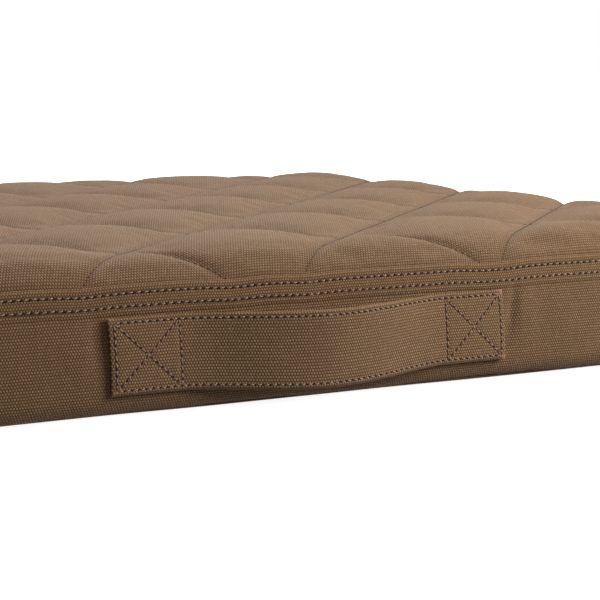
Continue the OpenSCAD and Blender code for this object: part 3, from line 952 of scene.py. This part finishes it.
def thread_material(name, light, dark):
    """Twisted sewing thread: fine slanting plies."""
    n = Nodes(name)
    place = n.place()
    ply = n.add("ShaderNodeTexWave", {"Vector": place, "Scale": 0.22 / MM, "Distortion": 1.5, "Detail": 1.0},
                bands_direction="DIAGONAL").outputs["Fac"]
    fuzz = n.even_noise(place, 1500)
    return n.surface({"Base Color": n.mix(n.times(n.plus(ply, fuzz), 0.5), dark, light),
                      "Roughness": n.plus(0.6, n.times(fuzz, 0.25)), "Specular IOR Level": 0.15,
                      "Normal": n.bump(ply, 0.5, 0.1 * MM)})


def hole_shadow_material():
    """Near-black colour that paints the shadow down in a needle hole."""
    n = Nodes("needle_hole_shadow")
    fuzz = n.even_noise(n.place(), 1800)
    return n.surface({"Base Color": n.mix(fuzz, colour(0.012, 0.008, 0.006), colour(0.05, 0.034, 0.022)),
                      "Roughness": 0.95, "Specular IOR Level": 0.1})


def plastic_material(name, tone):
    """Drawn nylon, with a faint mottle."""
    n = Nodes(name)
    mottle = n.even_noise(n.place(), 900)
    return n.surface({"Base Color": n.mix(mottle, tone, colour(*[c * 1.6 for c in tone[:3]])),
                      "Roughness": n.plus(0.25, n.times(mottle, 0.2))})


def metal_material(name):
    """Antique bronze: dull, with rubbed lighter patches and fine scratches."""
    n = Nodes(name)
    place = n.place()
    patches = n.even_noise(place, 300, 4.0)
    scratches = n.noise(place, (300, 6000, 6000))
    return n.surface({"Base Color": n.mix(patches, colour(0.16, 0.115, 0.07), colour(0.42, 0.33, 0.22)),
                      "Roughness": n.plus(0.28, n.times(patches, 0.3)), "Metallic": 1.0,
                      "Normal": n.bump(scratches, 0.25, 0.05 * MM)})


def floor_material():
    n = Nodes("pale_floor")
    cloud = n.even_noise(n.place(), 2)
    return n.surface({"Base Color": n.mix(cloud, colour(0.9, 0.9, 0.9), colour(0.93, 0.93, 0.93)),
                      "Emission Color": colour(1, 1, 1), "Emission Strength": 0.9, "Roughness": 0.9})


# DARK and LIGHT are shaded and lit copies of MIDDLE: painted shade in the weave's dips and painted highlight
# on its crowns; DARK also carries random tone and the painted crease shade
DARK = colour(0.069, 0.037, 0.0175)
MIDDLE = colour(0.233, 0.129, 0.0605)
LIGHT = colour(0.41, 0.240, 0.128)
CANVAS = canvas_material("canvas", DARK, MIDDLE, LIGHT)
# painted light: the strap is the same canvas with its colours raised about 12 per cent, to brighten it
STRAP_CANVAS_PAINTED_LIGHTER = canvas_material("strap_canvas", colour(0.077, 0.042, 0.0205), colour(0.262, 0.147, 0.071),
                               colour(0.455, 0.272, 0.149))
THREAD = thread_material("thread", colour(0.47, 0.325, 0.25), colour(0.20, 0.13, 0.092))
QUILT_THREAD = thread_material("quilt_thread", colour(0.165, 0.090, 0.043), colour(0.060, 0.033, 0.015))
# painted shadow for the needle holes between stitches
HOLE_SHADOW = hole_shadow_material()
LINING = canvas_material("lining", colour(0.36, 0.34, 0.31), colour(0.56, 0.54, 0.50),
                         colour(0.66, 0.64, 0.60), 0.7 * MM, 0.7 * MM, 0.12 * MM)
PATCH = canvas_material("patch_canvas", DARK, MIDDLE, LIGHT, on_cloth=False)
TAPE = canvas_material("zip_tape", colour(0.035, 0.024, 0.015), colour(0.11, 0.075, 0.048),
                       colour(0.17, 0.12, 0.08), 0.8 * MM, 0.7 * MM, 0.15 * MM, on_cloth=False)
NYLON = plastic_material("zip_nylon", colour(0.085, 0.056, 0.036))
BRONZE = metal_material("zip_bronze")


# ---------------------------------------------------------------- zip teeth
def zip_teeth(label, material):
    """One row of coil teeth: a small rounded loop every tooth, lying across the tape's edge."""
    low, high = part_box(f"zip_coil_{label}")
    count = round((high.x - low.x) / TOOTH)
    x = low.x + (np.arange(count) + (0.5 if label == "upper" else 1.0)) * TOOTH
    x = x[x < high.x - TOOTH / 2]
    shape, faces = stitch_shape(high.z - low.z + 0.2 * MM, 0.95 * MM, 0.85 * MM, rings=7, sides=6)
    at = np.stack([x, 0 * x + high.y - 1.0 * MM, 0 * x + (high.z + low.z) / 2], -1)
    forward = np.repeat([[0.0, 0.0, 1.0]], len(x), 0)
    normal = np.repeat([[0.0, 1.0, 0.0]], len(x), 0)
    points, all_faces = place_copies(shape, faces, at, forward, normal, 0.12)
    return add_mesh(f"zip_teeth_{label}", points, all_faces, None, None, material)


# ---------------------------------------------------------------- pieces
def build_sides():
    fine, coarse = 1.6 * MM, 2.6 * MM
    panels = [("front_side", "front_boxing", -CORNER_T, CORNER_T, fine),
              ("right_side", "right_boxing", CORNER_T, FAR_CORNER_T, coarse),
              ("left_side", "left_boxing", -FAR_CORNER_T, -CORNER_T, coarse),
              ("back_side_right_end", "back_boxing_right_end", FAR_CORNER_T, BACK - ZIP_HALF, coarse),
              ("back_side_left_end", "back_boxing_left_end", BACK + ZIP_HALF, PERIMETER - FAR_CORNER_T,
               coarse)]
    for name, node, t0, t1, step in panels:
        panel = boxing_panel(name, t0, t1, FOLD_START, BOXING_LEN, CANVAS, step, 1.5 * MM)
        settle(panel, "cushion", "canvas", node)
    upper, lower = (float(depth_at(z)) for z in (WINDOW_HIGH, WINDOW_LOW))
    for label, s0, s1, folded in (("upper", FOLD_START, upper, upper), ("lower", lower, BOXING_LEN, lower)):
        panel = boxing_panel(f"back_side_{label}", BACK - ZIP_HALF, BACK + ZIP_HALF, s0, s1, CANVAS, 2.4 * MM,
                             1.0 * MM, folded)
        settle(panel, "cushion", "canvas", f"back_boxing_{label}")
    settle(underside(CANVAS), "cushion", "canvas", "bottom_panel")
    settle(insert_cushion(LINING), "cushion", "lining", "insert_liner", "insert_fill")
    return upper, lower


def build_handle():
    for side, label in ((-1, "left"), (1, "right")):
        strap = strap_half(f"handle_strap_{label}", side, STRAP_CANVAS_PAINTED_LIGHTER)
        stitches = strap_stitches(side, THREAD, HOLE_SHADOW)
        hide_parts(f"handle_end_{label}", "handle_grip")
        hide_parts(f"handle_thread_{label}", "handle_grip_thread")
        for piece in (strap, stitches):
            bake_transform(piece)


def build_rows(upper, lower):
    round_bed = (np.arange(round(PERIMETER / STITCH)) + 0.5) * STITCH
    for number, node in enumerate(("top_seam_thread_upper", "top_seam_thread_lower")):
        row = seam_stitches(f"topstitch_row_{number + 1}", round_bed, ROW_DROPS[number], THREAD, HOLE_SHADOW, number)
        settle(row, "cushion", "thread", node)
    beside_zip = np.arange(BACK - ZIP_HALF + STITCH, BACK + ZIP_HALF - STITCH / 2, STITCH)
    for label, drop in (("upper", upper - ZIP_ROW), ("lower", lower + ZIP_ROW)):
        row = seam_stitches(f"zip_stitches_{label}", beside_zip, drop, THREAD, HOLE_SHADOW, 7)
        settle(row, "cushion", "thread", "zip_thread")


def finish_cad_nodes():
    """The CAD nodes that stay as they are get real finishes."""
    finishes = {"zip_tape_upper": TAPE, "zip_tape_lower": TAPE, "zip_stops": BRONZE, "zip_slider": BRONZE,
                "zip_pull": BRONZE, "handle_patch_left": PATCH, "handle_patch_right": PATCH}
    for node, material in finishes.items():
        for place in bpy.data.objects[node].material_slots:
            place.material = material


UPPER_EDGE, LOWER_EDGE = build_sides()
TOP, LINES = quilted_top(CANVAS, LINING)
settle(TOP, "cushion", "canvas", "top_face", "quilt_batting", "quilt_backing")
settle(quilting_stitches("quilting_stitches", LINES, QUILT_THREAD), "cushion", "thread", "quilting_thread")
build_handle()
build_rows(UPPER_EDGE, LOWER_EDGE)
for row_label in ("upper", "lower"):
    settle(zip_teeth(row_label, NYLON), "cushion", "zip_teeth", f"zip_coil_{row_label}")
finish_cad_nodes()


# ---------------------------------------------------------------- camera, light and floor
def link(name, data):
    obj = bpy.data.objects.new(name, data)
    bpy.context.scene.collection.objects.link(obj)
    return obj


def face_along(obj, direction):
    """Turns a lamp so that it shines from a direction."""
    obj.rotation_mode = "QUATERNION"
    obj.rotation_quaternion = direction.to_track_quat("Z", "Y")


def add_camera():
    """A long lens, low and to the left of the middle of the front."""
    camera = bpy.data.cameras.new("camera")
    camera.sensor_width = 36
    camera.lens = 114
    camera.clip_end = 100
    down, to_the_right = math.radians(7.42), math.radians(29.85)
    obj = link("camera", camera)
    obj.location = (-490 * MM, -HALF_D - 843 * MM, SEAM_Z + 113 * MM)
    obj.rotation_euler = (math.pi / 2 - down, 0, -to_the_right)
    bpy.context.scene.camera = obj


def add_sun(name, elevation, azimuth, strength, angle):
    light = bpy.data.lights.new(name, "SUN")
    light.energy = strength
    light.angle = math.radians(angle)
    e, a = math.radians(elevation), math.radians(azimuth)
    sky = Vector((math.sin(a) * math.cos(e), -math.cos(a) * math.cos(e), math.sin(e)))
    face_along(link(name, light), sky)


def add_panel(name, place, target, size, power):
    light = bpy.data.lights.new(name, "AREA")
    light.energy = power
    light.size = size
    obj = link(name, light)
    obj.location = place
    face_along(obj, Vector(place) - Vector(target))


def add_floor():
    size = 12
    corners = [(-size, -size, 0), (size, -size, 0), (size, size, 0), (-size, size, 0)]
    floor = add_mesh("floor", corners, [(0, 1, 2, 3)], None, None, floor_material())
    floor.location.z = -0.2 * MM
    floor.visible_diffuse = False


def add_backdrop():
    """A soft even world for light, and a white sphere that only the camera sees."""
    world = bpy.data.worlds.new("studio")
    bpy.context.scene.world = world
    world.use_nodes = True
    background = world.node_tree.nodes["Background"]
    background.inputs[0].default_value = colour(1, 1, 1)
    background.inputs[1].default_value = 0.21
    rings, sides, radius = 12, 32, 30
    points = []
    for i in range(rings + 1):
        a = math.pi * (i / rings - 0.5)
        for j in range(sides):
            b = 2 * math.pi * j / sides
            ring = radius * math.cos(a)
            points.append((ring * math.cos(b), ring * math.sin(b), radius * math.sin(a)))
    white = Nodes("white_backdrop").surface({"Base Color": colour(0, 0, 0), "Emission Color": colour(1, 1, 1),
                                             "Emission Strength": 1.0})
    dome = add_mesh("backdrop", points, grid_faces(rings + 1, sides, closed=True), None, None, white)
    for flag in ("visible_diffuse", "visible_glossy", "visible_transmission", "visible_shadow"):
        setattr(dome, flag, False)


add_camera()
add_floor()
add_backdrop()
add_sun("key", elevation=38, azimuth=160, strength=4.15, angle=35)
add_panel("fill", place=(0.80, -0.78, 0.50), target=(0.05, -0.25, 0.03), size=0.5, power=14)
bpy.context.scene.view_settings.view_transform = "Standard"
